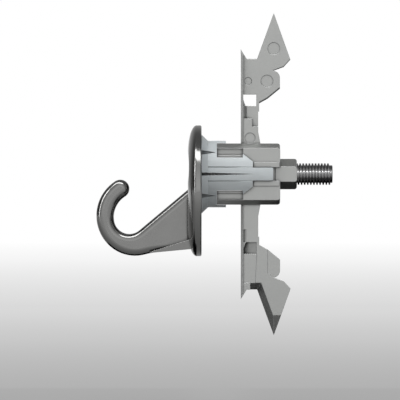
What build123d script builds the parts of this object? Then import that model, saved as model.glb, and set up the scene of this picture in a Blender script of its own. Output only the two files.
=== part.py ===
from build123d import *
from math import cos, radians, sin, sqrt, tan
import os

# Wall hook on a self-drilling toggle anchor, in millimetres.
# The origin is on the anchor's axis in the plane of the wall's front face. +X goes into the
# wall and +Z is up. The near side, seen first, is -Y.

os.makedirs("parts", exist_ok=True)

# Wall that the anchor clamps
wall_thickness = 12.7

# Clearances between pieces
thread_gap = 0.05
turning_gap = 0.3
pivot_gap = 0.05
sliding_gap = 0.1
end_gap = 0.15
stop_gap = 0.05

# Threaded stud and its head, which is cast into the backplate
stud_radius = 3.5
thread_depth = 0.65
stud_overhang = 11.5
stud_tip_length = 0.4
stud_head_radius = 4.6
stud_head_length = 1.2
head_cover = 1.1

# Backplate, a disc that hangs a little below the axis
plate_radius = 21.2
plate_drop = 5.4
plate_thickness = 4.4
plate_edge_width = 1.6
plate_middle_radius = 12.5
plate_back_round = 0.3
recess_radius = 18.4
recess_depth = 2.0
boss_radius = 7.0
scoop_depth = 0.33
scoop_height = 10.4
scoop_rise = 7.7

# Hook arm, a flat-sided bar with rounded edges
hook_reach = 34.05
outer_radius = 13.28
bottom_radius = 12.2
tip_radius = 2.95
throat_high_radius = 7.9
throat_low_radius = 5.0
blend_radius = 25.0
tip_angle = 122.5
throat_mouth_angle = 122.4
throat_turn_angle = 189.3
bottom_start_angle = 225.0
bottom_end_angle = 285.0
ridge_slope = 40.0
foot_slope = 5.5
arm_half_width = 3.5
arm_edge_share = 0.41
root_depth = 1.8

# Foot that widens the arm's underside towards the backplate
foot_inset = 2.44
foot_length = 14.1
foot_height = 3.4
foot_front_height = 0.3
foot_half_width = 6.0

# Wing hub and pivot
hub_radius = 3.0
hub_floor_gap = 0.43
pin_radius = 1.25
pin_depth = 5.2
pin_end_inset = 1.2

# Carrier
floor_wall = 0.8
cheek_over_pivot = 2.12
carrier_setback = 0.7
carrier_length = 12.0
carrier_half_width = 6.7
carrier_top_half_width = 4.0
carrier_bevel_drop = 1.5
carrier_corner_round = 0.9
prong_lip = 0.15
prong_web_wall = 1.3
prong_foot = 0.7
nose_sides = 6
nose_length = 5.5
nose_wall = 0.72
nose_round = 0.8
rail_width = 1.65
rail_height = 0.6
rail_rear_inset = 0.3
stop_groove_width = 0.6
stop_groove_depth = 0.3

# Sleeve
flange_radius = 12.7
flange_proud = 0.5
flange_wall_depth = 0.1
cone_length = 2.0
collar_length = 2.85
core_step = 0.18
core_half_height = 5.3
flap_length = 2.95
shoulder_rise = 1.2
shoulder_tip_half_height = 4.05
shoulder_length = 3.3
tongue_half_height = 2.1
tongue_length = 6.6
tongue_end_round = 0.6
slit_half_width = 0.5
slit_length = 16.8
side_slit_height = 7.0
side_slit_half_width = 0.7
side_slit_length = 4.5
side_slit_floor = 7.4
groove_width = 0.3
groove_depth = 0.3

# Wing, with u measured from the pivot away from the wall and v along the wing
blade_half_gap = 0.2
blade_thickness = 2.6
wing_half_width = 2.8
rib_half_width = 3.3
rib_back = 0.8
rib_start = 2.42
rib_length = 28.5
tip_u = 7.7
tip_v = 44.4
edge_foot_u = 2.3
notch_v = 29.6
notch_left_u = -1.1
tooth_v = 32.7
corner_u = 13.1
corner_v = 29.3
back_u = 10.9
back_v = 26.9
barb_top_u = 7.7
barb_top_v = 25.75
barb_arc_u = 9.1
barb_arc_v = 24.95
barb_u = 9.7
barb_shoulder_v = 23.3
barb_end_v = 19.9
barb_slope_u = 5.8
barb_slope_v = 16.7
finger_u = 2.95
finger_top_v = 15.1
finger_end_v = 12.5
arm_u = 2.64
flare_v = 5.8
flare_u = 3.3
flare_end_v = 2.4
block_high_v = 10.2
block_low_v = 7.6
block_step_u = 0.65
window_right_u = 2.05
window_low_v = 14.3
window_high_v = 18.0
window_cut_u = 0.75
window_cut_v = 2.2
edge_relief = 2.0
notch_relief = 2.2
notch_relief_left_u = 0.1
tip_facet = 6.5
mark_depth = 0.3
strip_width = 1.1
strip_depth = 0.35
back_chamfer = 0.25
barb_chamfer = 0.45
relief_step = 0.12
spine_relief_u = 2.18
spine_relief_end_u = 1.7
barb_relief_u = 5.65
barb_relief_v = 24.2
web_deep = 2.0
web_shallow = 0.3
blade_marks = ((7.7, 32.9, 2.0), (5.5, 22.35, 2.0), (-0.65, 22.35, 1.25))
hub_mark_v = 3.9
hub_mark_radius = 1.7

# Places that follow from the sizes above
bore_radius = stud_radius + thread_gap
slot_floor = bore_radius + floor_wall
pivot_height = slot_floor + hub_floor_gap + hub_radius
pivot_x = wall_thickness + hub_radius
hole_radius = pivot_height + hub_radius
carrier_half_height = pivot_height + cheek_over_pivot
carrier_front = wall_thickness + carrier_setback
carrier_rear = carrier_front + carrier_length
nose_end = carrier_rear + nose_length
nose_flat = bore_radius + nose_wall
nose_half_side_angle = 180 / nose_sides
nose_corner = nose_flat / cos(radians(nose_half_side_angle))
stud_end = nose_end + stud_overhang
slot_half_width = wing_half_width + end_gap
slot_front = wall_thickness - end_gap
prong_web_half_width = slot_half_width + prong_web_wall
prong_bottom = core_half_height + sliding_gap
bevel_height = carrier_half_height - carrier_bevel_drop
cone_end = flange_wall_depth + cone_length
collar_end = cone_end + collar_length
prong_front = collar_end + stop_gap
core_end = carrier_front - end_gap
core_radius = hole_radius - core_step
flap_height = carrier_half_height + sliding_gap
channel_half_height = tongue_half_height + sliding_gap
tongue_inner = nose_flat + end_gap
shoulder_end = core_end + shoulder_length
rail_front = shoulder_end + end_gap
tongue_end = shoulder_end + tongue_length
plate_bottom = -plate_drop - plate_radius
blade_far = blade_half_gap + blade_thickness
rib_back_u = rib_back - hub_radius


def polar(centre, radius, angle):
    """Point at an angle in degrees on a circle."""
    return (centre[0] + radius * cos(radians(angle)), centre[1] + radius * sin(radians(angle)))


# Hook outline, a chain of tangent arcs about an outer centre at local height 0
arm_edge_round = arm_edge_share * (outer_radius - throat_high_radius)
outer_centre = (outer_radius - hook_reach, 0.0)
tip_centre = polar(outer_centre, outer_radius - tip_radius, tip_angle)
high_centre = polar(tip_centre, tip_radius + throat_high_radius, throat_mouth_angle - 180)
low_centre = polar(high_centre, throat_high_radius - throat_low_radius, throat_turn_angle)
bottom_centre = polar(outer_centre, outer_radius - bottom_radius, bottom_start_angle)
blend_centre = polar(bottom_centre, bottom_radius + blend_radius, bottom_end_angle)
ridge_touch_angle = ridge_slope - 90
ridge_touch = polar(low_centre, throat_low_radius, ridge_touch_angle)
foot_start = polar(blend_centre, blend_radius, foot_slope + 90)
root_x = root_depth - plate_thickness
ridge_root = (root_x, ridge_touch[1] + (root_x - ridge_touch[0]) * tan(radians(ridge_slope)))
foot_root = (root_x, foot_start[1] + (root_x - foot_start[0]) * tan(radians(foot_slope)))
hook_height = plate_bottom + foot_inset - foot_root[1]
hook_plane = Plane(origin=(0, 0, hook_height), x_dir=(1, 0, 0), z_dir=(0, -1, 0))
plate_plane = Plane(origin=(0, 0, -plate_drop), x_dir=(1, 0, 0), z_dir=(0, -1, 0))

# Foot under the arm: a wedge that grows higher and wider towards the backplate
foot_front = (root_x - foot_length, foot_root[1] - foot_length * tan(radians(foot_slope)))
with BuildPart() as foot:
    with BuildSketch(hook_plane):
        with BuildLine():
            Polyline(
                foot_front,
                foot_root,
                (foot_root[0], foot_root[1] + foot_height),
                (foot_front[0], foot_front[1] + foot_front_height),
                close=True,
            )
        make_face()
    extrude(amount=foot_half_width, both=True)
    with BuildSketch(Plane.XY.offset(plate_bottom)):
        with BuildLine():
            Polyline(
                (foot_front[0], -arm_half_width),
                (root_x, -foot_half_width),
                (root_x, foot_half_width),
                (foot_front[0], arm_half_width),
                close=True,
            )
        make_face()
    extrude(amount=plate_radius, mode=Mode.INTERSECT)

# Hook casting: arm, foot, backplate, its hollow back and the boss that holds the stud
with BuildPart() as hook_casting:
    with BuildSketch(hook_plane):
        with BuildLine():
            Line(foot_root, ridge_root)
            Line(ridge_root, ridge_touch)
            CenterArc(
                low_centre,
                throat_low_radius,
                ridge_touch_angle,
                throat_turn_angle - 360 - ridge_touch_angle,
            )
            CenterArc(
                high_centre,
                throat_high_radius,
                throat_turn_angle,
                throat_mouth_angle - throat_turn_angle,
            )
            CenterArc(
                tip_centre,
                tip_radius,
                throat_mouth_angle - 180,
                tip_angle - throat_mouth_angle + 180,
            )
            CenterArc(outer_centre, outer_radius, tip_angle, bottom_start_angle - tip_angle)
            CenterArc(
                bottom_centre,
                bottom_radius,
                bottom_start_angle,
                bottom_end_angle - bottom_start_angle,
            )
            CenterArc(
                blend_centre,
                blend_radius,
                bottom_end_angle - 180,
                foot_slope + 90 - bottom_end_angle + 180,
            )
            Line(foot_start, foot_root)
        make_face()
    extrude(amount=arm_half_width, both=True)
    fillet(hook_casting.faces().filter_by(Axis.Y).edges(), arm_edge_round)
    add(foot.part)
    with BuildSketch(plate_plane):
        with BuildLine():
            Polyline(
                (-plate_thickness, plate_middle_radius),
                (-plate_thickness, 0),
                (0, 0),
                (0, plate_radius - plate_back_round),
                (-plate_back_round, plate_radius),
                (-plate_edge_width, plate_radius),
            )
            EllipticalCenterArc(
                (-plate_edge_width, plate_middle_radius),
                plate_thickness - plate_edge_width,
                plate_radius - plate_middle_radius,
                start_angle=90,
                arc_size=90,
            )
        make_face()
    revolve(axis=Axis((0, 0, -plate_drop), (1, 0, 0)))
    scoop_radius = ((scoop_height / 2) ** 2 + scoop_depth**2) / (2 * scoop_depth)
    with BuildSketch(plate_plane):
        with Locations((scoop_depth - plate_thickness - scoop_radius, scoop_rise)):
            Circle(scoop_radius)
        with BuildLine():
            Polyline(
                (-plate_thickness - scoop_depth, scoop_rise - scoop_height / 2),
                (0, scoop_rise - scoop_height / 2),
                (0, scoop_rise + scoop_height / 2),
                (-plate_thickness - scoop_depth, scoop_rise + scoop_height / 2),
                close=True,
            )
        make_face(mode=Mode.INTERSECT)
    extrude(amount=plate_radius, both=True, mode=Mode.SUBTRACT)
    with BuildSketch(Plane.YZ.offset(-recess_depth)):
        with Locations((0, -plate_drop)):
            Circle(recess_radius)
        Circle(boss_radius, mode=Mode.SUBTRACT)
    extrude(amount=recess_depth, mode=Mode.SUBTRACT)
    boss_end = -flange_proud - sliding_gap
    with BuildSketch(Plane.YZ.offset(boss_end)):
        Circle(boss_radius)
    extrude(amount=-boss_end, mode=Mode.SUBTRACT)
    head_front = scoop_depth + head_cover - plate_thickness
    with BuildSketch(Plane.YZ.offset(head_front)):
        Circle(stud_head_radius)
    extrude(amount=stud_head_length, mode=Mode.SUBTRACT)
    with BuildSketch(Plane.YZ.offset(head_front)):
        Circle(stud_radius)
    extrude(amount=-head_front, mode=Mode.SUBTRACT)
hook_casting.part.label = "hook_casting"
export_step(hook_casting.part, "parts/hook_casting.step")

# Stud: a head, a shank at the thread's crest, and a plain end at the thread's root
with BuildPart() as drive_stud:
    with BuildSketch(Plane.YZ.offset(head_front)):
        Circle(stud_head_radius)
    extrude(amount=stud_head_length)
    with BuildSketch(Plane.YZ.offset(head_front)):
        Circle(stud_radius)
    extrude(amount=stud_end - stud_tip_length - head_front)
    with BuildSketch(Plane.YZ.offset(stud_end - stud_tip_length)):
        Circle(stud_radius - thread_depth)
    extrude(amount=stud_tip_length)
drive_stud.part.label = "drive_stud"
export_step(drive_stud.part, "parts/drive_stud.step")

# Sleeve: a countersunk flange and collar turned about the axis, a core between the prongs,
# flaps over the prongs, and a shoulder and a tongue on each side
sleeve_bore = stud_radius + turning_gap
carrier_room = 2 * (carrier_half_width + end_gap)
shoulder_half_height = core_half_height + shoulder_rise
with BuildPart() as anchor_sleeve:
    with BuildSketch(Plane.XZ):
        with BuildLine():
            Polyline(
                (collar_end, -core_half_height),
                (core_end, -core_half_height),
                (core_end + end_gap, -shoulder_half_height),
                (shoulder_end, -shoulder_tip_half_height),
                (shoulder_end, shoulder_tip_half_height),
                (core_end + end_gap, shoulder_half_height),
                (core_end, core_half_height),
                (collar_end, core_half_height),
                close=True,
            )
        make_face()
    extrude(amount=hole_radius, both=True)
    with BuildSketch(Plane.YZ.offset(core_end)):
        Rectangle(carrier_room, 2 * hole_radius)
    extrude(amount=shoulder_length, mode=Mode.SUBTRACT)
    with BuildSketch(Plane.XZ):
        with Locations(((collar_end + tongue_end) / 2, 0)):
            RectangleRounded(tongue_end - collar_end, 2 * tongue_half_height, tongue_end_round)
    extrude(amount=core_radius, both=True)
    with BuildSketch(Plane.YZ.offset(core_end)):
        Rectangle(2 * tongue_inner, 2 * hole_radius)
    extrude(amount=tongue_end - core_end, mode=Mode.SUBTRACT)
    with BuildSketch(Plane.XZ):
        with BuildLine():
            Polyline(
                (-flange_proud, 0),
                (-flange_proud, flange_radius),
                (flange_wall_depth, flange_radius),
                (cone_end, hole_radius),
                (collar_end, hole_radius),
                (collar_end, 0),
                close=True,
            )
        make_face()
    revolve(axis=Axis.X)
    for side in (-1, 1):
        with BuildSketch(Plane.YZ.offset(collar_end)):
            Circle(hole_radius)
            with Locations((0, side * (flap_height + hole_radius))):
                Rectangle(2 * hole_radius, 2 * hole_radius, mode=Mode.INTERSECT)
        extrude(amount=flap_length)
    with BuildSketch(Plane.XZ):
        with BuildLine():
            Polyline(
                (-flange_proud, 0),
                (-flange_proud, flange_radius),
                (flange_wall_depth, flange_radius),
                (cone_end, hole_radius),
                (collar_end + flap_length, hole_radius),
                (core_end, core_radius),
                (tongue_end, core_radius),
                (tongue_end, 0),
                close=True,
            )
        make_face()
    revolve(axis=Axis.X, mode=Mode.INTERSECT)
    with BuildSketch(Plane.YZ.offset(-flange_proud)):
        Circle(sleeve_bore)
    extrude(amount=flange_proud + core_end, mode=Mode.SUBTRACT)
    with BuildSketch(Plane.XZ):
        with BuildLine():
            Polyline(
                (flange_wall_depth, -slit_half_width),
                (flange_wall_depth, slit_half_width),
                (flange_wall_depth + slit_length, 0),
                close=True,
            )
        make_face()
    extrude(amount=flange_radius, both=True, mode=Mode.SUBTRACT)
    groove_height = tongue_half_height + groove_width / 2
    groove_reach = shoulder_end - cone_end
    for side in (-1, 1):
        slit_plane = Plane(origin=(0, side * side_slit_floor, 0), x_dir=(1, 0, 0), z_dir=(0, side, 0))
        with BuildSketch(slit_plane):
            for height in (-side_slit_height, side_slit_height):
                with BuildLine():
                    Polyline(
                        (flange_wall_depth, height - side_slit_half_width),
                        (flange_wall_depth, height + side_slit_half_width),
                        (flange_wall_depth + side_slit_length, height),
                        close=True,
                    )
                make_face()
        extrude(amount=flange_radius, mode=Mode.SUBTRACT)
        groove_plane = Plane(
            origin=(0, side * (core_radius - groove_depth), 0), x_dir=(1, 0, 0), z_dir=(0, side, 0)
        )
        with BuildSketch(groove_plane):
            with Locations(
                (cone_end + groove_reach / 2, groove_height),
                (cone_end + groove_reach / 2, -groove_height),
            ):
                Rectangle(groove_reach, groove_width)
        extrude(amount=flange_radius, mode=Mode.SUBTRACT)
anchor_sleeve.part.label = "anchor_sleeve"
export_step(anchor_sleeve.part, "parts/anchor_sleeve.step")

# Carrier: a bevelled block with two prongs, a hexagonal nose, a channel between rails on
# each side, a slot for each wing and the tapped bore
with BuildPart() as wing_carrier:
    with BuildSketch(Plane.YZ.offset(carrier_front)):
        with BuildLine():
            Polyline(
                (-carrier_half_width, -bevel_height),
                (-carrier_top_half_width, -carrier_half_height),
                (carrier_top_half_width, -carrier_half_height),
                (carrier_half_width, -bevel_height),
                (carrier_half_width, bevel_height),
                (carrier_top_half_width, carrier_half_height),
                (-carrier_top_half_width, carrier_half_height),
                (-carrier_half_width, bevel_height),
                close=True,
            )
        make_face()
    extrude(amount=carrier_length)
    rear_edges = wing_carrier.faces().sort_by(Axis.X)[-1].edges()
    fillet(rear_edges.filter_by(Axis.Z, reverse=True), carrier_corner_round)
    with BuildSketch(Plane.YZ.offset(carrier_rear - carrier_corner_round)):
        RegularPolygon(nose_corner, nose_sides, rotation=nose_half_side_angle)
    extrude(amount=nose_length + carrier_corner_round)
    nose_edges = wing_carrier.faces().sort_by(Axis.X)[-1].edges()
    fillet(nose_edges.filter_by(Axis.Z, reverse=True), nose_round)
    for side in (-1, 1):
        with BuildSketch(Plane.YZ.offset(prong_front)):
            with BuildLine():
                Polyline(
                    (-carrier_top_half_width, side * carrier_half_height),
                    (carrier_top_half_width, side * carrier_half_height),
                    (carrier_half_width, side * bevel_height),
                    (carrier_half_width, side * (bevel_height - prong_lip)),
                    (prong_web_half_width, side * (bevel_height - prong_lip)),
                    (prong_web_half_width, side * (prong_bottom + prong_foot)),
                    (carrier_half_width, side * (prong_bottom + prong_foot)),
                    (carrier_half_width, side * prong_bottom),
                    (-carrier_half_width, side * prong_bottom),
                    (-carrier_half_width, side * (prong_bottom + prong_foot)),
                    (-prong_web_half_width, side * (prong_bottom + prong_foot)),
                    (-prong_web_half_width, side * (bevel_height - prong_lip)),
                    (-carrier_half_width, side * (bevel_height - prong_lip)),
                    (-carrier_half_width, side * bevel_height),
                    close=True,
                )
            make_face()
        extrude(amount=carrier_front - prong_front)
        rail_plane = Plane(
            origin=(0, side * carrier_half_width, 0), x_dir=(1, 0, 0), z_dir=(0, side, 0)
        )
        rail_rear = carrier_rear - rail_rear_inset
        rail_middle = channel_half_height + rail_width / 2
        with BuildSketch(rail_plane):
            with Locations(
                ((rail_front + rail_rear) / 2, rail_middle),
                ((rail_front + rail_rear) / 2, -rail_middle),
            ):
                Rectangle(rail_rear - rail_front, rail_width)
        extrude(amount=rail_height)
        channel_plane = Plane(
            origin=(0, side * nose_flat, 0), x_dir=(1, 0, 0), z_dir=(0, side, 0)
        )
        with BuildSketch(channel_plane):
            with Locations(((carrier_front + carrier_rear) / 2, 0)):
                Rectangle(carrier_length, 2 * channel_half_height)
        extrude(amount=carrier_half_width, mode=Mode.SUBTRACT)
        with BuildSketch(channel_plane):
            with Locations((tongue_end + end_gap + stop_groove_width / 2, 0)):
                Rectangle(stop_groove_width, 2 * channel_half_height)
        extrude(amount=-stop_groove_depth, mode=Mode.SUBTRACT)
        with BuildSketch(Plane.XY.offset(side * slot_floor)):
            with Locations(((slot_front + carrier_rear) / 2, 0)):
                Rectangle(carrier_rear - slot_front, 2 * slot_half_width)
        extrude(amount=side * carrier_half_height, mode=Mode.SUBTRACT)
        with BuildSketch(Plane.XZ.offset(pin_depth)):
            with Locations((pivot_x, side * pivot_height)):
                Circle(pin_radius)
        extrude(amount=-pin_depth - carrier_half_width, mode=Mode.SUBTRACT)
    with BuildSketch(Plane.YZ.offset(prong_front)):
        Circle(bore_radius)
    extrude(amount=nose_end - prong_front, mode=Mode.SUBTRACT)
wing_carrier.part.label = "wing_carrier"
export_step(wing_carrier.part, "parts/wing_carrier.step")

# Pivot pins, pressed in from the far side and blind on the near side
for pin_name, side in (("pivot_pin_upper", 1), ("pivot_pin_lower", -1)):
    with BuildPart() as pivot_pin:
        with BuildSketch(Plane.XZ.offset(pin_depth)):
            with Locations((pivot_x, side * pivot_height)):
                Circle(pin_radius)
        extrude(amount=pin_end_inset - pin_depth - carrier_half_width)
    pivot_pin.part.label = pin_name
    export_step(pivot_pin.part, "parts/" + pin_name + ".step")

# Upper wing. Its flat cutting face lies near the middle plane and its relief is on the far
# side. Its arm is full width from the hub to the block's end and half width beyond.
wing_plane = Plane(origin=(pivot_x, 0, pivot_height), x_dir=(1, 0, 0), z_dir=(0, -1, 0))
blade_plane = wing_plane.offset(-blade_half_gap)
block_plane = wing_plane.offset(wing_half_width)
window_outline = (
    (rib_back_u, window_high_v),
    (window_right_u, window_high_v),
    (window_right_u, window_low_v),
    (rib_back_u + window_cut_u, window_low_v),
    (rib_back_u, window_low_v + window_cut_v),
)
edge_length = sqrt((tip_u - edge_foot_u) ** 2 + (tip_v - notch_v) ** 2)
edge_du = (tip_u - edge_foot_u) / edge_length
edge_dv = (tip_v - notch_v) / edge_length
relief_run = (edge_relief * edge_du - notch_relief) / edge_dv
relief_foot_u = edge_foot_u + edge_relief * edge_dv + relief_run * edge_du
relief_tip_u = tip_u + edge_relief / edge_dv

with BuildPart() as wing_upper:
    with BuildSketch(blade_plane):
        with BuildLine():
            Polyline(
                (flare_u, 0),
                (-hub_radius, 0),
                (-hub_radius, tooth_v),
                (notch_left_u, notch_v),
                (edge_foot_u, notch_v),
                (tip_u, tip_v),
                (corner_u, corner_v),
                (back_u, back_v),
                (barb_top_u, barb_top_v),
            )
            ThreePointArc(
                (barb_top_u, barb_top_v), (barb_arc_u, barb_arc_v), (barb_u, barb_shoulder_v)
            )
            Polyline(
                (barb_u, barb_shoulder_v),
                (barb_u, barb_end_v),
                (barb_slope_u, barb_slope_v),
                (finger_u, finger_top_v),
                (finger_u, finger_end_v),
                (arm_u, finger_end_v),
                (arm_u, flare_v),
                (flare_u, flare_end_v),
                (flare_u, 0),
            )
        make_face()
        with BuildLine():
            Polyline(*window_outline, close=True)
        make_face(mode=Mode.SUBTRACT)
    extrude(amount=-blade_thickness)
    with BuildSketch(blade_plane):
        with BuildLine():
            Polyline(
                (notch_left_u, notch_v),
                (edge_foot_u, notch_v),
                (tip_u, tip_v),
                (notch_left_u, tip_v),
                close=True,
            )
        make_face()
    with BuildSketch(blade_plane.offset(-blade_thickness)):
        with BuildLine():
            Polyline(
                (notch_relief_left_u, notch_v - notch_relief),
                (relief_foot_u, notch_v - notch_relief),
                (relief_tip_u, tip_v),
                (notch_relief_left_u, tip_v),
                close=True,
            )
        make_face()
    loft(ruled=True, mode=Mode.SUBTRACT)
    with BuildSketch(Plane.YZ.offset(pivot_x)):
        with BuildLine():
            Polyline(
                (blade_half_gap, pivot_height + tip_v),
                (blade_far, pivot_height + tip_v - tip_facet),
                (blade_far, pivot_height + tip_v),
                close=True,
            )
        make_face()
    extrude(amount=corner_u, mode=Mode.SUBTRACT)
    with BuildSketch(block_plane):
        with BuildLine():
            Polyline(
                (-hub_radius, 0),
                (-hub_radius, block_high_v),
                (block_step_u, block_high_v),
                (block_step_u, block_low_v),
                (arm_u, block_low_v),
                (arm_u, flare_v),
                (flare_u, flare_end_v),
                (flare_u, 0),
                close=True,
            )
        make_face()
    extrude(amount=-wing_half_width - blade_half_gap)
    with BuildSketch(block_plane):
        Circle(hub_radius)
    extrude(amount=-2 * wing_half_width)
    with BuildSketch(wing_plane):
        with Locations(((rib_back_u - hub_radius) / 2, rib_start + rib_length / 2)):
            Rectangle(rib_back, rib_length)
    extrude(amount=rib_half_width, both=True)
    with BuildSketch(Plane.XY.offset(pivot_height + block_high_v)):
        with BuildLine():
            Polyline(
                (pivot_x + rib_back_u - rib_back / 2, -rib_half_width),
                (pivot_x + rib_back_u, -rib_half_width),
                (pivot_x + rib_back_u + strip_width, blade_half_gap),
                (pivot_x + rib_back_u + strip_width, blade_far),
                (pivot_x + rib_back_u - rib_back / 2, blade_far),
                close=True,
            )
        make_face()
    extrude(amount=window_low_v - block_high_v)
    for size, corners in (
        (back_chamfer, ((corner_u, corner_v), (back_u, back_v), (barb_top_u, barb_top_v))),
        (barb_chamfer, ((barb_u, barb_end_v), (barb_slope_u, barb_slope_v), (finger_u, finger_top_v))),
    ):
        under_edges = ShapeList(
            wing_upper.edges().sort_by_distance(
                (pivot_x + (start[0] + end[0]) / 2, blade_half_gap, pivot_height + (start[1] + end[1]) / 2)
            )[0]
            for start, end in zip(corners, corners[1:])
        )
        chamfer(under_edges, size)
    with BuildSketch(Plane.XY.offset(pivot_height - hub_radius)):
        with Locations((wall_thickness + hole_radius, 0)):
            Circle(hole_radius)
    extrude(amount=hub_radius + tip_v, mode=Mode.INTERSECT)
    with BuildSketch(block_plane):
        Circle(pin_radius + pivot_gap)
    extrude(amount=-2 * wing_half_width, mode=Mode.SUBTRACT)
    with BuildSketch(blade_plane):
        for mark_u, mark_v, mark_radius in blade_marks:
            with Locations((mark_u, mark_v)):
                Circle(mark_radius)
    extrude(amount=-mark_depth, mode=Mode.SUBTRACT)
    with BuildSketch(block_plane):
        with Locations((0, hub_mark_v)):
            Circle(hub_mark_radius)
    extrude(amount=-mark_depth, mode=Mode.SUBTRACT)
wing_upper.part.label = "wing_upper"
export_step(wing_upper.part, "parts/wing_upper.step")

# Lower wing: the upper one turned half a turn about the stud. On the side that it shows, a
# sloping web closes its window, a sloping strip runs beside the rib, and the spine and the
# barb lie a little lower.
lower_plane = Plane(origin=(pivot_x, 0, -pivot_height), x_dir=(1, 0, 0), z_dir=(0, 1, 0))
with BuildPart() as wing_lower:
    add(wing_upper.part.rotate(Axis.X, 180))
    with BuildSketch(Plane.XY.offset(-pivot_height - window_low_v)):
        with BuildLine():
            Polyline(
                (pivot_x + rib_back_u, web_deep - blade_far),
                (pivot_x + window_right_u, web_shallow - blade_far),
                (pivot_x + window_right_u, -blade_half_gap),
                (pivot_x + rib_back_u, -blade_half_gap),
                close=True,
            )
        make_face()
    extrude(amount=window_low_v - window_high_v)
    with BuildSketch(Plane.XY.offset(-pivot_height - block_high_v)):
        with BuildLine():
            Polyline(
                (pivot_x + rib_back_u, -blade_far),
                (pivot_x + rib_back_u + strip_width, -blade_far),
                (pivot_x + rib_back_u, strip_depth - blade_far),
                close=True,
            )
        make_face()
    extrude(amount=block_high_v - window_low_v, mode=Mode.SUBTRACT)
    with BuildSketch(lower_plane.offset(-blade_far)):
        with BuildLine():
            Polyline(
                (rib_back_u, window_high_v),
                (spine_relief_u, window_high_v),
                (spine_relief_end_u, notch_v - notch_relief),
                (rib_back_u, notch_v - notch_relief),
                close=True,
            )
        make_face()
        with BuildLine():
            Polyline(
                (barb_relief_u, finger_end_v),
                (barb_relief_u, barb_relief_v),
                (barb_top_u, barb_top_v),
                (corner_u, barb_top_v),
                (corner_u, finger_end_v),
                close=True,
            )
        make_face()
    extrude(amount=relief_step, mode=Mode.SUBTRACT)
wing_lower.part.label = "wing_lower"
export_step(wing_lower.part, "parts/wing_lower.step")
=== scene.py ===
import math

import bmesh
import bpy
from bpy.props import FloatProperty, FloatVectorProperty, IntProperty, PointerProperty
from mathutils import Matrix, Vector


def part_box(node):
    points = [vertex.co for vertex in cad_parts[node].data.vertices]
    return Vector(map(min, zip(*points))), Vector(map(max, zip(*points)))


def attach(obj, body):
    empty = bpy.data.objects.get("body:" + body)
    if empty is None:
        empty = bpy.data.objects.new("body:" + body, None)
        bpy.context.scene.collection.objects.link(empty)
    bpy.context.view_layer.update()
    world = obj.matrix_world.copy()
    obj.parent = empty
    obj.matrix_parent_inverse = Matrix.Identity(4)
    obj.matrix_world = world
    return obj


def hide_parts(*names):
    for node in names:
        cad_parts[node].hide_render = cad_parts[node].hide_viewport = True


bl_info = {
    "name": "Drywall hook",
    "version": (1, 0, 0),
    "blender": (4, 5, 0),
    "location": "View3D > Sidebar > Drywall hook",
    "description": "Plated hook, rolled thread, moulded sleeve and die-cast wings round the packed model",
    "category": "Object",
}

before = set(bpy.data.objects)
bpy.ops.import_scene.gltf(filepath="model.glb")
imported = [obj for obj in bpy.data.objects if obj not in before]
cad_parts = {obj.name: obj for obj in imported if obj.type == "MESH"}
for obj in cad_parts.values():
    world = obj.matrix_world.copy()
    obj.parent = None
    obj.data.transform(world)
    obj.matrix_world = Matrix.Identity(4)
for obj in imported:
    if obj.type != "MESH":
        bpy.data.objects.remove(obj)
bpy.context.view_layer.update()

MM = 0.001
STUD_LOW, STUD_HIGH = (Vector(corner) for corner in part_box("drive_stud"))
ZINC_NODES = ("wing_carrier", "wing_upper", "wing_lower")
PIN_NODES = ("pivot_pin_upper", "pivot_pin_lower")

# Outline of one turn of the thread: how far along the pitch a point lies, and how far it
# stands out from the root towards the crest, both as shares.
THREAD_OUTLINE = (
    (0.0, 0.0), (0.36, 0.0), (0.44, 0.9), (0.47, 1.0), (0.9, 1.0), (0.93, 0.9), (0.99, 0.0),
)

# The floor's paper, in metres: its radius, and its brightness at shares of a distance from
# the hook, which paints shade: greyest under the hook, white further off. Reflections take the
# paper in front of the hook to be further away, by FRONT_SHARE of that distance where it is
# FRONT_REACH in front, so it is brighter to them: a painted reflection.
FLOOR_RADIUS = 40.0
FLOOR_DISTANCE = 6.0
FLOOR_GLOW_SHADE_LEVELS = (
    (0.0, 0.42), (0.042, 0.47), (0.13, 0.59), (0.28, 0.72), (0.395, 0.80), (0.563, 0.91), (0.8, 1.0),
)
FRONT_REACH = 0.4
FRONT_SHARE = 0.8

# Cards just above the floor: their span along X and along Y in metres, and their colour.
CARD_GAP = 8 * MM
FLOOR_CARDS = {
    "card_behind": ((0.012, 0.3), (-0.006, 0.16), "#141414"),
    "card_hook": ((-0.08, -0.004), (0.006, 0.16), "#141414"),
    "card_before": ((0.014, 0.034), (-0.1, -0.006), "#8c8c8c"),
    "card_under": ((0.034, 0.08), (-0.09, -0.006), "#505050"),
}

# Soft panels, in metres: where each one stands, the point that it faces, and its width and
# height.
ANCHOR_MIDDLE = (0.0, 0.0, 0.0)
THREAD_END = (0.044, 0.0, 0.0)
PANELS = {
    "fill_panel": ((0.0, -1.5, 0.25), ANCHOR_MIDDLE, (1.5, 1.1)),
    "key_strip": ((-0.15, -0.39, 0.92), ANCHOR_MIDDLE, (1.4, 0.32)),
    "rear_panel": ((0.0, 1.5, 0.5), ANCHOR_MIDDLE, (1.5, 1.1)),
    "end_panel": ((1.4, 0.5, 0.4), ANCHOR_MIDDLE, (1.1, 1.1)),
    "back_strip": ((0.0, 1.5, 0.1), ANCHOR_MIDDLE, (1.8, 0.3)),
    "thread_strip": ((THREAD_END[0], -0.134, 0.067), THREAD_END, (0.12, 0.016)),
    "side_panel": ((-1.1, -0.35, 0.75), ANCHOR_MIDDLE, (0.5, 0.6)),
    "edge_strip": ((-1.1, -0.45, 0.4), ANCHOR_MIDDLE, (0.16, 0.9)),
}


def linear(code):
    """Linear colour with alpha 1, from an sRGB hex value such as #8a8b8d."""
    channels = [int(code[i : i + 2], 16) / 255 for i in (1, 3, 5)]
    return [c / 12.92 if c <= 0.04045 else ((c + 0.055) / 1.055) ** 2.4 for c in channels] + [1.0]


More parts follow.
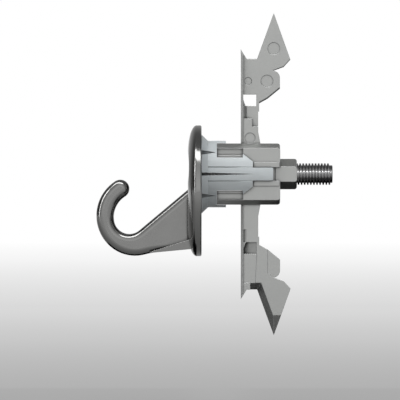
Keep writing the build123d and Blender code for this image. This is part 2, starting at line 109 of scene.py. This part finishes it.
def add_node(tree, kind, inputs=None, **settings):
    """Add one node, give it its settings, and set or link its inputs."""
    node = tree.nodes.new(kind)
    for key, value in settings.items():
        setattr(node, key, value)
    for key, value in (inputs or {}).items():
        if isinstance(value, bpy.types.NodeSocket):
            tree.links.new(value, node.inputs[key])
        else:
            node.inputs[key].default_value = value
    return node


def new_material(name):
    """Material with an empty node tree."""
    material = bpy.data.materials.new(name)
    material.use_nodes = True
    material.node_tree.nodes.clear()
    return material, material.node_tree


def rub_edges(tree, colour, rubbed, radius):
    """Colour that turns to the rubbed one where a rounded edge would leave the flat face."""
    rounded = add_node(tree, "ShaderNodeBevel", {"Radius": radius}, samples=6)
    flat = add_node(tree, "ShaderNodeNewGeometry")
    aligned = add_node(
        tree,
        "ShaderNodeVectorMath",
        {0: rounded.outputs["Normal"], 1: flat.outputs["Normal"]},
        operation="DOT_PRODUCT",
    )
    edge = add_node(
        tree,
        "ShaderNodeMapRange",
        {"Value": aligned.outputs["Value"], "From Min": 0.985, "From Max": 0.86},
    )
    return add_node(
        tree,
        "ShaderNodeMix",
        {"Factor": edge.outputs["Result"], "A": colour, "B": linear(rubbed)},
        data_type="RGBA",
    )


def paint_corner_shade(tree, colour, distance, darkest):
    """Colour that is scaled down to the darkest share in corners and slits of that width: painted shade,
    where hollows would fall into shadow.
    """
    shade = add_node(tree, "ShaderNodeAmbientOcclusion", {"Distance": distance}, samples=8)
    share = add_node(
        tree,
        "ShaderNodeMapRange",
        {"Value": shade.outputs["AO"], "From Min": 0.35, "From Max": 0.85, "To Min": darkest},
    )
    return add_node(
        tree,
        "ShaderNodeMix",
        {"Factor": 1.0, "A": colour, "B": share.outputs["Result"]},
        data_type="RGBA",
        blend_type="MULTIPLY",
    )


def plated_casting(settings):
    """Zinc die casting, buffed and plated with black nickel.

    Buffing leaves a faint orange peel and very fine hairlines; the plating is a dark, nearly
    neutral mirror that mottles a little in its gloss and is a shade lighter on the edges.
    """
    cloud_size = 9 * MM
    peel_size = 1.4 * MM
    hair_length = 4 * MM
    hair_slant = 0.7
    hair_slimness = 14.0
    gloss_spread = 0.01
    material, tree = new_material("black_nickel_plate")
    place = add_node(tree, "ShaderNodeTexCoord").outputs["Object"]
    clouds = add_node(tree, "ShaderNodeTexNoise", {"Vector": place, "Scale": 1 / cloud_size, "Detail": 3.0})
    peel = add_node(tree, "ShaderNodeTexNoise", {"Vector": place, "Scale": 1 / peel_size, "Detail": 1.0})
    stretched = add_node(
        tree,
        "ShaderNodeMapping",
        {"Vector": place, "Rotation": (0.0, hair_slant, 0.0), "Scale": (1.0, 1.0, hair_slimness)},
    )
    hairs = add_node(
        tree,
        "ShaderNodeTexNoise",
        {"Vector": stretched.outputs["Vector"], "Scale": 1 / hair_length, "Detail": 4.0},
    )
    colour = add_node(
        tree,
        "ShaderNodeMix",
        {
            "Factor": clouds.outputs["Fac"],
            "A": linear("#7b7b7a"),
            "B": [*settings.plate_colour, 1.0],
        },
        data_type="RGBA",
    )
    rubbed = rub_edges(tree, colour.outputs["Result"], "#8f8f8e", radius=0.35 * MM)
    # Painted shade: the plating's colour darkens in corners and slits.
    painted_shade_colour = paint_corner_shade(tree, rubbed.outputs["Result"], distance=1.5 * MM, darkest=0.25)
    gloss = add_node(
        tree,
        "ShaderNodeMapRange",
        {
            "Value": hairs.outputs["Fac"],
            "From Min": 0.3,
            "From Max": 0.7,
            "To Min": settings.plate_roughness - gloss_spread,
            "To Max": settings.plate_roughness + gloss_spread,
        },
    )
    rounded = add_node(tree, "ShaderNodeBevel", {"Radius": 0.2 * MM}, samples=8)
    bump = add_node(
        tree,
        "ShaderNodeBump",
        {
            "Height": peel.outputs["Fac"],
            "Strength": 0.015,
            "Distance": 0.2 * MM,
            "Normal": rounded.outputs["Normal"],
        },
    )
    shader = add_node(
        tree,
        "ShaderNodeBsdfPrincipled",
        {
            "Base Color": painted_shade_colour.outputs["Result"],
            "Metallic": 1.0,
            "Roughness": gloss.outputs["Result"],
            "Normal": bump.outputs["Normal"],
        },
    )
    add_node(tree, "ShaderNodeOutputMaterial", {"Surface": shader.outputs["BSDF"]})
    return material


def oxide_steel(settings):
    """Carbon steel stud with a rolled thread and a black oxide finish under light oil.

    Rolling burnishes the crests, so they are brighter and smoother than the roots. The grain
    of the oxide is drawn coarser than it is, so that it shows.
    """
    stain_size = 2.5 * MM
    grain_size = 0.35 * MM
    crest_share = 0.45
    material, tree = new_material("black_oxide_steel")
    place = add_node(tree, "ShaderNodeTexCoord").outputs["Object"]
    across = add_node(
        tree, "ShaderNodeVectorMath", {0: place, 1: (0.0, 1.0, 1.0)}, operation="MULTIPLY"
    )
    radius = add_node(tree, "ShaderNodeVectorMath", {0: across.outputs["Vector"]}, operation="LENGTH")
    crest = add_node(
        tree,
        "ShaderNodeMapRange",
        {
            "Value": radius.outputs["Value"],
            "From Min": settings.crest_radius - crest_share * settings.thread_depth,
            "From Max": settings.crest_radius,
        },
    )
    stains = add_node(tree, "ShaderNodeTexNoise", {"Vector": place, "Scale": 1 / stain_size, "Detail": 3.0})
    root_colour = add_node(
        tree,
        "ShaderNodeMix",
        {"Factor": stains.outputs["Fac"], "A": linear("#666667"), "B": linear("#777777")},
        data_type="RGBA",
    )
    colour = add_node(
        tree,
        "ShaderNodeMix",
        {
            "Factor": crest.outputs["Result"],
            "A": root_colour.outputs["Result"],
            "B": [*settings.crest_colour, 1.0],
        },
        data_type="RGBA",
    )
    gloss = add_node(
        tree,
        "ShaderNodeMapRange",
        {"Value": crest.outputs["Result"], "To Min": 0.3, "To Max": 0.2},
    )
    grain = add_node(tree, "ShaderNodeTexNoise", {"Vector": place, "Scale": 1 / grain_size, "Detail": 2.0})
    bump = add_node(
        tree, "ShaderNodeBump", {"Height": grain.outputs["Fac"], "Strength": 0.12, "Distance": 0.05 * MM}
    )
    shader = add_node(
        tree,
        "ShaderNodeBsdfPrincipled",
        {
            "Base Color": colour.outputs["Result"],
            "Metallic": 1.0,
            "Roughness": gloss.outputs["Result"],
            "Normal": bump.outputs["Normal"],
        },
    )
    add_node(tree, "ShaderNodeOutputMaterial", {"Surface": shader.outputs["BSDF"]})
    return material


def moulded_nylon(settings):
    """Injection moulded nylon in a light blue grey.

    The tool leaves a satin skin with a fine spark-eroded grain and faint flow clouds, and the
    plastic lets a little light in, so shadows in it stay soft. The grain is drawn coarser than
    it is, so that it shows.
    """
    flow_size = 6 * MM
    grain_size = 0.3 * MM
    material, tree = new_material("moulded_nylon")
    place = add_node(tree, "ShaderNodeTexCoord").outputs["Object"]
    flow = add_node(
        tree,
        "ShaderNodeTexNoise",
        {"Vector": place, "Scale": 1 / flow_size, "Detail": 2.0, "Distortion": 0.6},
    )
    colour = add_node(
        tree,
        "ShaderNodeMix",
        {"Factor": flow.outputs["Fac"], "A": linear("#b7bdbf"), "B": [*settings.nylon_colour, 1.0]},
        data_type="RGBA",
    )
    # Painted shade: the nylon's colour darkens in corners, grooves and slits.
    painted_shade_colour = paint_corner_shade(tree, colour.outputs["Result"], distance=1.5 * MM, darkest=0.35)
    grain = add_node(tree, "ShaderNodeTexNoise", {"Vector": place, "Scale": 1 / grain_size, "Detail": 2.0})
    gloss = add_node(
        tree,
        "ShaderNodeMapRange",
        {"Value": grain.outputs["Fac"], "To Min": 0.34, "To Max": 0.46},
    )
    rounded = add_node(tree, "ShaderNodeBevel", {"Radius": 0.15 * MM}, samples=6)
    bump = add_node(
        tree,
        "ShaderNodeBump",
        {
            "Height": grain.outputs["Fac"],
            "Strength": 0.08,
            "Distance": 0.05 * MM,
            "Normal": rounded.outputs["Normal"],
        },
    )
    shader = add_node(
        tree,
        "ShaderNodeBsdfPrincipled",
        {
            "Base Color": painted_shade_colour.outputs["Result"],
            "Roughness": gloss.outputs["Result"],
            "IOR": 1.53,
            "Subsurface Weight": 0.08,
            "Subsurface Radius": (0.6, 0.7, 0.8),
            "Subsurface Scale": 1.0 * MM,
            "Normal": bump.outputs["Normal"],
        },
    )
    add_node(tree, "ShaderNodeOutputMaterial", {"Surface": shader.outputs["BSDF"]})
    return material


def cast_zinc(settings):
    """Zinc alloy pressure die casting, tumbled and left bare.

    Tumbling leaves an even, matte light grey on the broad faces, a slightly darker cast skin
    in clouds, and brighter rubbed edges.
    """
    cloud_size = 7 * MM
    grain_size = 0.4 * MM
    gloss_spread = 0.05
    material, tree = new_material("die_cast_zinc")
    place = add_node(tree, "ShaderNodeTexCoord").outputs["Object"]
    clouds = add_node(tree, "ShaderNodeTexNoise", {"Vector": place, "Scale": 1 / cloud_size, "Detail": 4.0})
    colour = add_node(
        tree,
        "ShaderNodeMix",
        {"Factor": clouds.outputs["Fac"], "A": linear("#989998"), "B": [*settings.zinc_colour, 1.0]},
        data_type="RGBA",
    )
    rubbed = rub_edges(tree, colour.outputs["Result"], "#a9aaab", radius=0.2 * MM)
    # Painted shade: the zinc's colour darkens in corners, recesses and slits.
    painted_shade_colour = paint_corner_shade(tree, rubbed.outputs["Result"], distance=1.2 * MM, darkest=0.4)
    grain = add_node(tree, "ShaderNodeTexNoise", {"Vector": place, "Scale": 1 / grain_size, "Detail": 3.0})
    gloss = add_node(
        tree,
        "ShaderNodeMapRange",
        {
            "Value": clouds.outputs["Fac"],
            "To Min": settings.zinc_roughness - gloss_spread,
            "To Max": settings.zinc_roughness + gloss_spread,
        },
    )
    rounded = add_node(tree, "ShaderNodeBevel", {"Radius": 0.24 * MM}, samples=10)
    bump = add_node(
        tree,
        "ShaderNodeBump",
        {
            "Height": grain.outputs["Fac"],
            "Strength": 0.1,
            "Distance": 0.06 * MM,
            "Normal": rounded.outputs["Normal"],
        },
    )
    shader = add_node(
        tree,
        "ShaderNodeBsdfPrincipled",
        {
            "Base Color": painted_shade_colour.outputs["Result"],
            "Metallic": 1.0,
            "Roughness": gloss.outputs["Result"],
            "Normal": bump.outputs["Normal"],
        },
    )
    add_node(tree, "ShaderNodeOutputMaterial", {"Surface": shader.outputs["BSDF"]})
    return material


def ground_steel():
    """Ground dowel steel: bright, with fine marks round the pin from grinding."""
    mark_length = 2 * MM
    mark_slimness = 12.0
    material, tree = new_material("ground_steel")
    place = add_node(tree, "ShaderNodeTexCoord").outputs["Object"]
    stretched = add_node(tree, "ShaderNodeMapping", {"Vector": place, "Scale": (1.0, mark_slimness, 1.0)})
    marks = add_node(
        tree,
        "ShaderNodeTexNoise",
        {"Vector": stretched.outputs["Vector"], "Scale": 1 / mark_length, "Detail": 3.0},
    )
    colour = add_node(
        tree,
        "ShaderNodeMix",
        {"Factor": marks.outputs["Fac"], "A": linear("#a7a8aa"), "B": linear("#c0c1c2")},
        data_type="RGBA",
    )
    gloss = add_node(
        tree, "ShaderNodeMapRange", {"Value": marks.outputs["Fac"], "To Min": 0.22, "To Max": 0.34}
    )
    shader = add_node(
        tree,
        "ShaderNodeBsdfPrincipled",
        {"Base Color": colour.outputs["Result"], "Metallic": 1.0, "Roughness": gloss.outputs["Result"]},
    )
    add_node(tree, "ShaderNodeOutputMaterial", {"Surface": shader.outputs["BSDF"]})
    return material


def dress(node, material):
    """Give a CAD node its material in every slot."""
    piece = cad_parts[node]
    if not piece.material_slots:
        piece.data.materials.append(material)
    for slot in piece.material_slots:
        slot.material = material


def stud_mesh(settings):
    """Stud as one closed mesh: a head, a plain neck, a helical ridge and a plain tip.

    Each column of vertices is one outline of the ridge, a step further along the helix than
    the last. A column's last row is the first row one turn later, so that the turns share
    their edges. The ridge rises from the root, and sinks back to it, over a quarter of a turn.
    """
    steps = settings.steps_per_turn
    pitch = settings.thread_pitch
    crest = settings.crest_radius
    root = crest - settings.thread_depth
    start = settings.thread_start
    end = STUD_HIGH.x - settings.plain_tip
    turns = int((end - start) / pitch) - 1
    lead = end - start - (turns + 1) * pitch
    rows = len(THREAD_OUTLINE)
    columns = turns * steps
    fade = steps / 4
    mesh = bmesh.new()
    grid = []
    for column in range(columns + steps + 1):
        angle = 2 * math.pi * column / steps
        rise = min(1.0, column / fade, max(0.0, (columns - column) / fade))
        first = start + lead + pitch * column / steps
        outline = THREAD_OUTLINE if column <= columns else THREAD_OUTLINE[:1]
        grid.append(
            [
                mesh.verts.new(
                    (
                        first + share * pitch,
                        math.cos(angle) * (root + height * rise * (crest - root)),
                        math.sin(angle) * (root + height * rise * (crest - root)),
                    )
                )
                for share, height in outline
            ]
        )

    def vertex(column, row):
        return grid[column + steps][0] if row == rows else grid[column][row]

    for column in range(columns):
        for row in range(rows):
            mesh.faces.new(
                (
                    vertex(column, row),
                    vertex(column + 1, row),
                    vertex(column + 1, row + 1),
                    vertex(column, row + 1),
                )
            )

    def ring(x, radius):
        return [
            mesh.verts.new(
                (
                    x,
                    math.cos(2 * math.pi * i / steps) * radius,
                    math.sin(2 * math.pi * i / steps) * radius,
                )
            )
            for i in range(steps)
        ]

    def join(one, two):
        for i in range(steps):
            j = (i + 1) % steps
            mesh.faces.new((one[i], one[j], two[j], two[i]))

    head_end = STUD_LOW.x + settings.head_length
    head_radius = STUD_HIGH.z
    neck_end = start - pitch
    taper_end = start - pitch / 2
    near = [
        ring(STUD_LOW.x, head_radius),
        ring(head_end, head_radius),
        ring(head_end, crest),
        ring(neck_end, crest),
        ring(taper_end, root),
    ]
    mesh.faces.new(list(reversed(near[0])))
    for one, two in zip(near, near[1:]):
        join(one, two)
    last = near[-1]
    for column in range(steps):
        mesh.faces.new(
            (last[column], last[(column + 1) % steps], vertex(column + 1, 0), vertex(column, 0))
        )
    mesh.faces.new([last[0], *(vertex(0, row) for row in range(rows, -1, -1))])
    chamfer = settings.tip_chamfer
    tip_start = end + pitch / 8
    far = [
        ring(tip_start, root),
        ring(STUD_HIGH.x - chamfer, root),
        ring(STUD_HIGH.x, root - chamfer),
    ]
    for column in range(steps):
        mesh.faces.new(
            (
                vertex(columns + column, 0),
                vertex(columns + column + 1, 0),
                far[0][(columns + column + 1) % steps],
                far[0][(columns + column) % steps],
            )
        )
    mesh.faces.new([far[0][columns % steps], *(vertex(columns, row) for row in range(rows + 1))])
    for one, two in zip(far, far[1:]):
        join(one, two)
    mesh.faces.new(far[-1])
    bmesh.ops.recalc_face_normals(mesh, faces=mesh.faces)
    data = bpy.data.meshes.new("threaded_stud")
    mesh.to_mesh(data)
    mesh.free()
    return data


class HookFinishSettings(bpy.types.PropertyGroup):
    """Colours and gloss of the pieces."""

    plate_colour: FloatVectorProperty(
        name="Plating", description="Colour of the black nickel", subtype="COLOR", size=3,
        default=linear("#727271")[:3], min=0, max=1,
    )
    plate_roughness: FloatProperty(
        name="Plating roughness", description="Gloss of the buffed plating",
        default=0.16, min=0.05, max=0.6,
    )
    nylon_colour: FloatVectorProperty(
        name="Sleeve", description="Colour of the moulded sleeve", subtype="COLOR", size=3,
        default=linear("#c5cbcd")[:3], min=0, max=1,
    )
    zinc_colour: FloatVectorProperty(
        name="Wings and carrier", description="Colour of the bare die castings", subtype="COLOR", size=3,
        default=linear("#a5a6a4")[:3], min=0, max=1,
    )
    zinc_roughness: FloatProperty(
        name="Casting roughness", description="Gloss of the tumbled castings",
        default=0.4, min=0.1, max=0.9,
    )


class HookThreadSettings(bpy.types.PropertyGroup):
    """Sizes and colour of the threaded stud."""

    crest_radius: FloatProperty(
        name="Crest radius", description="Radius at the thread's crest", unit="LENGTH",
        default=3.5 * MM,
    )
    thread_depth: FloatProperty(
        name="Thread depth", description="From crest to root", unit="LENGTH", default=0.65 * MM
    )
    thread_pitch: FloatProperty(
        name="Pitch", description="Travel of one turn", unit="LENGTH", default=1.0 * MM
    )
    thread_start: FloatProperty(
        name="Thread start", description="Where the thread runs out in the sleeve", unit="LENGTH",
        default=1.0 * MM,
    )
    plain_tip: FloatProperty(
        name="Plain tip", description="Unthreaded length at the far end", unit="LENGTH", default=0.4 * MM
    )
    tip_chamfer: FloatProperty(
        name="Tip chamfer", description="Bevel on the far end", unit="LENGTH", default=0.15 * MM
    )
    head_length: FloatProperty(
        name="Head length", description="Length of the head cast into the plate", unit="LENGTH",
        default=1.2 * MM,
    )
    steps_per_turn: IntProperty(
        name="Steps", description="Faces round the thread", default=48, min=12, max=96
    )
    crest_colour: FloatVectorProperty(
        name="Crests", description="Colour of the burnished crests", subtype="COLOR", size=3,
        default=linear("#868686")[:3], min=0, max=1,
    )


class HookStageSettings(bpy.types.PropertyGroup):
    """Camera, lamps and floor."""

    distance: FloatProperty(
        name="Camera distance", description="From the anchor's axis to the camera", unit="LENGTH",
        default=2.0,
    )
    frame_width: FloatProperty(
        name="Frame width", description="Width that the picture shows at the axis", unit="LENGTH",
        default=0.1296,
    )
    centre_x: FloatProperty(
        name="Centre along the axis", description="Where the picture's middle is", unit="LENGTH",
        default=-0.0005,
    )
    centre_z: FloatProperty(
        name="Centre height", description="Height of the picture's middle", unit="LENGTH",
        default=-0.0084,
    )
    floor_height: FloatProperty(
        name="Floor height", description="Height of the floor below the axis", unit="LENGTH",
        default=-0.075,
    )
    fill_radiance: FloatProperty(
        name="Fill", description="Brightness of the soft panel beside the camera", default=1.15, min=0
    )
    key_radiance: FloatProperty(
        name="Key", description="Brightness of the strip above the camera", default=6.0, min=0
    )
    side_radiance: FloatProperty(
        name="Side", description="Brightness of the panel at the hook's side", default=2.0, min=0
    )
    edge_radiance: FloatProperty(
        name="Edge strip", description="Brightness of the upright strip at the hook's side",
        default=8.0, min=0,
    )
    ambient: FloatProperty(
        name="Ambient", description="Strength of the room's own light", default=0.3, min=0
    )
    front: FloatProperty(
        name="Front", description="Brightness of the room's front in reflections", default=1.5, min=0
    )
    rear: FloatProperty(
        name="Rear", description="Brightness of the room's rear in reflections", default=0.45, min=0
    )
    rear_radiance: FloatProperty(
        name="Rear panels", description="Brightness of the soft panels behind the anchor and at its end",
        default=1.0, min=0,
    )
    back_radiance: FloatProperty(
        name="Back strip", description="Brightness of the low strip behind the anchor", default=5.0, min=0
    )
    thread_radiance: FloatProperty(
        name="Thread strip", description="Brightness of the small strip before the stud",
        default=9.0, min=0,
    )


class HOOK_OT_dress_casting(bpy.types.Operator):
    """Plate the hook casting"""

    bl_idname = "drywall_hook.dress_casting"
    bl_label = "Plate the hook"

    def execute(self, context):
        dress("hook_casting", plated_casting(context.scene.hook_finish))
        return {"FINISHED"}


class HOOK_OT_cut_thread(bpy.types.Operator):
    """Make the threaded stud in place of the plain one"""

    bl_idname = "drywall_hook.cut_thread"
    bl_label = "Cut the thread"

    def execute(self, context):
        settings = context.scene.hook_thread
        data = stud_mesh(settings)
        data.materials.append(oxide_steel(settings))
        stud = bpy.data.objects.new("threaded_stud", data)
        context.scene.collection.objects.link(stud)
        data.shade_smooth()
        data.set_sharp_from_angle(angle=math.radians(35))
        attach(stud, "hook")
        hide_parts("drive_stud")
        return {"FINISHED"}


class HOOK_OT_dress_sleeve(bpy.types.Operator):
    """Give the sleeve its moulded plastic"""

    bl_idname = "drywall_hook.dress_sleeve"
    bl_label = "Mould the sleeve"

    def execute(self, context):
        dress("anchor_sleeve", moulded_nylon(context.scene.hook_finish))
        return {"FINISHED"}


class HOOK_OT_dress_wings(bpy.types.Operator):
    """Give the carrier and both wings their cast zinc, and the pins their ground steel"""

    bl_idname = "drywall_hook.dress_wings"
    bl_label = "Finish the carrier, wings and pins"

    def execute(self, context):
        zinc = cast_zinc(context.scene.hook_finish)
        for node in ZINC_NODES:
            dress(node, zinc)
        steel = ground_steel()
        for node in PIN_NODES:
            dress(node, steel)
        return {"FINISHED"}


def studio_floor(height):
    """Wide paper floor that glows light grey under the hook and fades to white far from it: painted shade.

    To the camera and to gloss it glows at its own grey. Near the hook a share of plain, lit
    paper is left in that, which keeps the hook's shadow.
    """
    data = bpy.data.meshes.new("studio_floor")
    mesh = bmesh.new()
    bmesh.ops.create_circle(mesh, cap_ends=True, segments=96, radius=FLOOR_RADIUS)
    mesh.to_mesh(data)
    mesh.free()
    floor = bpy.data.objects.new("studio_floor", data)
    floor.location = (0.0, 0.0, height)
    bpy.context.scene.collection.objects.link(floor)
    material, tree = new_material("floor_paper")
    place = add_node(tree, "ShaderNodeTexCoord").outputs["Object"]
    reach = add_node(tree, "ShaderNodeVectorMath", {0: place}, operation="LENGTH")
    away = add_node(
        tree, "ShaderNodeMapRange", {"Value": reach.outputs["Value"], "From Max": FLOOR_DISTANCE}
    )
    forward = add_node(
        tree, "ShaderNodeVectorMath", {0: place, 1: (0.0, -1.0, 0.0)}, operation="DOT_PRODUCT"
    )
    before = add_node(
        tree,
        "ShaderNodeMapRange",
        {"Value": forward.outputs["Value"], "From Max": FRONT_REACH, "To Max": FRONT_SHARE},
    )
    rays = add_node(tree, "ShaderNodeLightPath")
    share = add_node(
        tree,
        "ShaderNodeMath",
        {0: rays.outputs["Is Glossy Ray"], 1: before.outputs["Result"], 2: away.outputs["Result"]},
        operation="MULTIPLY_ADD",
    )
    # Painted shade in the glow: greyer near the hook; painted reflection: brighter to gloss in front.
    ramp = add_node(tree, "ShaderNodeValToRGB", {"Fac": share.outputs["Value"]})
    elements = ramp.color_ramp.elements
    while len(elements) < len(FLOOR_GLOW_SHADE_LEVELS):
        elements.new(0.5)
    for element, (position, level) in zip(elements, FLOOR_GLOW_SHADE_LEVELS):
        element.position = position
        element.color = (level, level, level, 1.0)
    paper = add_node(tree, "ShaderNodeBsdfDiffuse", {"Color": ramp.outputs["Color"]})
    glow = add_node(tree, "ShaderNodeEmission", {"Color": ramp.outputs["Color"], "Strength": 1.0})
    seen_or_mirrored = add_node(
        tree,
        "ShaderNodeMath",
        {0: rays.outputs["Is Camera Ray"], 1: rays.outputs["Is Glossy Ray"]},
        operation="MAXIMUM",
    )
    seen = add_node(
        tree,
        "ShaderNodeMath",
        {0: seen_or_mirrored.outputs["Value"], 1: rays.outputs["Is Transmission Ray"]},
        operation="MAXIMUM",
    )
    glow_far = add_node(
        tree,
        "ShaderNodeMapRange",
        {"Value": reach.outputs["Value"], "From Min": 0.3, "From Max": 1.5, "To Min": 0.85},
    )
    glow_share = add_node(
        tree,
        "ShaderNodeMath",
        {0: seen.outputs["Value"], 1: glow_far.outputs["Result"]},
        operation="MULTIPLY",
    )
    surface = add_node(
        tree,
        "ShaderNodeMixShader",
        {"Fac": glow_share.outputs["Value"], 1: paper.outputs["BSDF"], 2: glow.outputs["Emission"]},
    )
    add_node(tree, "ShaderNodeOutputMaterial", {"Surface": surface.outputs["Shader"]})
    data.materials.append(material)


def lamp(name, radiance):
    """Soft rectangular panel; its power follows from its size and brightness."""
    place, target, size = PANELS[name]
    data = bpy.data.lights.new(name, "AREA")
    data.shape = "RECTANGLE"
    data.size, data.size_y = size
    data.energy = radiance * math.pi * size[0] * size[1]
    panel = bpy.data.objects.new(name, data)
    panel.location = place
    panel.rotation_mode = "QUATERNION"
    panel.rotation_quaternion = (Vector(target) - Vector(place)).to_track_quat("-Z", "Y")
    panel.visible_camera = False
    bpy.context.scene.collection.objects.link(panel)
    return panel


def flag_light(panel, state, *pieces):
    """Keep a panel's light off some pieces, or for them alone, as flags would."""
    group = bpy.data.collections.new(f"{panel.name}_flags")
    for piece in pieces:
        group.objects.link(piece)
    for entry in group.collection_objects:
        entry.light_linking.link_state = state
    panel.light_linking.receiver_collection = group


def studio_world(ambient, front, rear):
    """Room that is white to the camera, and even and dim to matte surfaces.

    Gloss sees it white straight behind the hook, bright in front, softer behind, and darker
    towards both ends, where flags would stand. Its limits are cosines of the angle from +Y.
    """
    world = bpy.data.worlds.new("studio_room")
    world.use_nodes = True
    tree = world.node_tree
    tree.nodes.clear()
    rays = add_node(tree, "ShaderNodeLightPath")
    way = add_node(tree, "ShaderNodeTexCoord").outputs["Generated"]
    behind = add_node(
        tree, "ShaderNodeVectorMath", {0: way, 1: (0.0, 1.0, 0.0)}, operation="DOT_PRODUCT"
    )
    backdrop = add_node(
        tree,
        "ShaderNodeMapRange",
        {
            "Value": behind.outputs["Value"],
            "From Min": 0.97,
            "From Max": 0.998,
        },
        interpolation_type="SMOOTHSTEP",
    )
    before = add_node(
        tree,
        "ShaderNodeMapRange",
        {
            "Value": behind.outputs["Value"],
            "From Min": -0.25,
            "From Max": -1.0,
            "To Min": ambient,
            "To Max": front,
        },
    )
    sideways = add_node(
        tree, "ShaderNodeVectorMath", {0: way, 1: (1.0, 0.0, 0.0)}, operation="DOT_PRODUCT"
    )
    squared = add_node(
        tree, "ShaderNodeMath", {0: sideways.outputs["Value"], 1: 2.0}, operation="POWER"
    )
    flags = add_node(
        tree, "ShaderNodeMapRange", {"Value": squared.outputs["Value"], "To Min": 1.0, "To Max": 0.3}
    )
    after = add_node(
        tree,
        "ShaderNodeMapRange",
        {
            "Value": behind.outputs["Value"],
            "From Max": 0.8,
            "To Max": rear,
        },
    )
    brighter = add_node(
        tree,
        "ShaderNodeMath",
        {0: before.outputs["Result"], 1: after.outputs["Result"]},
        operation="MAXIMUM",
    )
    room = add_node(
        tree,
        "ShaderNodeMath",
        {0: brighter.outputs["Value"], 1: flags.outputs["Result"]},
        operation="MULTIPLY",
    )
    around = add_node(
        tree,
        "ShaderNodeMath",
        {0: room.outputs["Value"], 1: backdrop.outputs["Result"]},
        operation="MAXIMUM",
    )
    gloss = add_node(
        tree,
        "ShaderNodeMath",
        {0: rays.outputs["Is Glossy Ray"], 1: rays.outputs["Is Transmission Ray"]},
        operation="MAXIMUM",
    )
    on_surfaces = add_node(
        tree,
        "ShaderNodeMix",
        {"Factor": gloss.outputs["Value"], "A": ambient, "B": around.outputs["Value"]},
        data_type="FLOAT",
    )
    level = add_node(
        tree,
        "ShaderNodeMix",
        {"Factor": rays.outputs["Is Camera Ray"], "A": on_surfaces.outputs["Result"], "B": 1.0},
        data_type="FLOAT",
    )
    background = add_node(
        tree, "ShaderNodeBackground", {"Color": (1.0, 1.0, 1.0, 1.0), "Strength": level.outputs["Result"]}
    )
    add_node(tree, "ShaderNodeOutputWorld", {"Surface": background.outputs["Background"]})
    bpy.context.scene.world = world


def floor_card(name, height):
    """Card that the camera doesn't see, which takes the floor's light off the undersides."""
    x_span, y_span, colour = FLOOR_CARDS[name]
    data = bpy.data.meshes.new(name)
    corners = [(x_span[i], y_span[j], height) for i, j in ((0, 0), (1, 0), (1, 1), (0, 1))]
    data.from_pydata(corners, [], [(0, 1, 2, 3)])
    card = bpy.data.objects.new(name, data)
    card.visible_camera = False
    card.visible_shadow = False
    bpy.context.scene.collection.objects.link(card)
    material, tree = new_material(name)
    shader = add_node(tree, "ShaderNodeBsdfDiffuse", {"Color": linear(colour)})
    add_node(tree, "ShaderNodeOutputMaterial", {"Surface": shader.outputs["BSDF"]})
    data.materials.append(material)


class HOOK_OT_set_stage(bpy.types.Operator):
    """Set the floor, the soft panels, the room and the camera"""

    bl_idname = "drywall_hook.set_stage"
    bl_label = "Set the stage"

    def execute(self, context):
        scene = context.scene
        stage = scene.hook_stage
        studio_floor(stage.floor_height)
        for name in FLOOR_CARDS:
            floor_card(name, stage.floor_height + CARD_GAP)
        stud = scene.objects["threaded_stud"]
        castings = [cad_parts[node] for node in ZINC_NODES]
        fill = lamp("fill_panel", stage.fill_radiance)
        key = lamp("key_strip", stage.key_radiance)
        rear = lamp("rear_panel", stage.rear_radiance)
        end = lamp("end_panel", stage.rear_radiance)
        back = lamp("back_strip", stage.back_radiance)
        strip = lamp("thread_strip", stage.thread_radiance)
        # The fill and the strip behind light matte surfaces only, and gloss doesn't show them.
        fill.visible_glossy = False
        back.visible_glossy = False
        # The stud has a strip of its own, so that its thread shows one bright line.
        flag_light(key, "EXCLUDE", stud)
        flag_light(strip, "INCLUDE", stud)
        # The rear panels would bleach the sleeve and the plate.
        flag_light(rear, "INCLUDE", *castings)
        flag_light(end, "INCLUDE", *castings)
        lamp("side_panel", stage.side_radiance)
        edge = lamp("edge_strip", stage.edge_radiance)
        # The edge strip draws the light line along the hook's left edge.
        flag_light(edge, "INCLUDE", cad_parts["hook_casting"])
        studio_world(stage.ambient, stage.front, stage.rear)
        data = bpy.data.cameras.new("side_camera")
        data.sensor_width = 36.0
        data.lens = data.sensor_width * stage.distance / stage.frame_width
        data.shift_y = stage.centre_z / stage.frame_width
        data.clip_end = 100.0
        camera = bpy.data.objects.new("side_camera", data)
        camera.location = (stage.centre_x, -stage.distance, 0.0)
        camera.rotation_euler = (math.radians(90), 0.0, 0.0)
        scene.collection.objects.link(camera)
        scene.camera = camera
        scene.view_settings.view_transform = "Standard"
        return {"FINISHED"}


class HOOK_PT_panel(bpy.types.Panel):
    """Lists the steps that dress the hook"""

    bl_label = "Drywall hook"
    bl_idname = "HOOK_PT_panel"
    bl_space_type = "VIEW_3D"
    bl_region_type = "UI"
    bl_category = "Drywall hook"

    def draw(self, context):
        for group in (context.scene.hook_finish, context.scene.hook_thread, context.scene.hook_stage):
            box = self.layout.box()
            for name in group.__annotations__:
                box.prop(group, name)
        for operator in OPERATORS:
            self.layout.operator(operator.bl_idname)


OPERATORS = (
    HOOK_OT_dress_casting,
    HOOK_OT_cut_thread,
    HOOK_OT_dress_sleeve,
    HOOK_OT_dress_wings,
    HOOK_OT_set_stage,
)
GROUPS = {
    "hook_finish": HookFinishSettings,
    "hook_thread": HookThreadSettings,
    "hook_stage": HookStageSettings,
}


def register():
    for group in GROUPS.values():
        bpy.utils.register_class(group)
    for name, group in GROUPS.items():
        setattr(bpy.types.Scene, name, PointerProperty(type=group))
    for operator in OPERATORS:
        bpy.utils.register_class(operator)
    bpy.utils.register_class(HOOK_PT_panel)


def unregister():
    bpy.utils.unregister_class(HOOK_PT_panel)
    for operator in reversed(OPERATORS):
        bpy.utils.unregister_class(operator)
    for name, group in GROUPS.items():
        delattr(bpy.types.Scene, name)
        bpy.utils.unregister_class(group)


def main():
    register()
    bpy.ops.drywall_hook.dress_casting()
    bpy.ops.drywall_hook.cut_thread()
    bpy.ops.drywall_hook.dress_sleeve()
    bpy.ops.drywall_hook.dress_wings()
    bpy.ops.drywall_hook.set_stage()


if __name__ == "__main__":
    main()
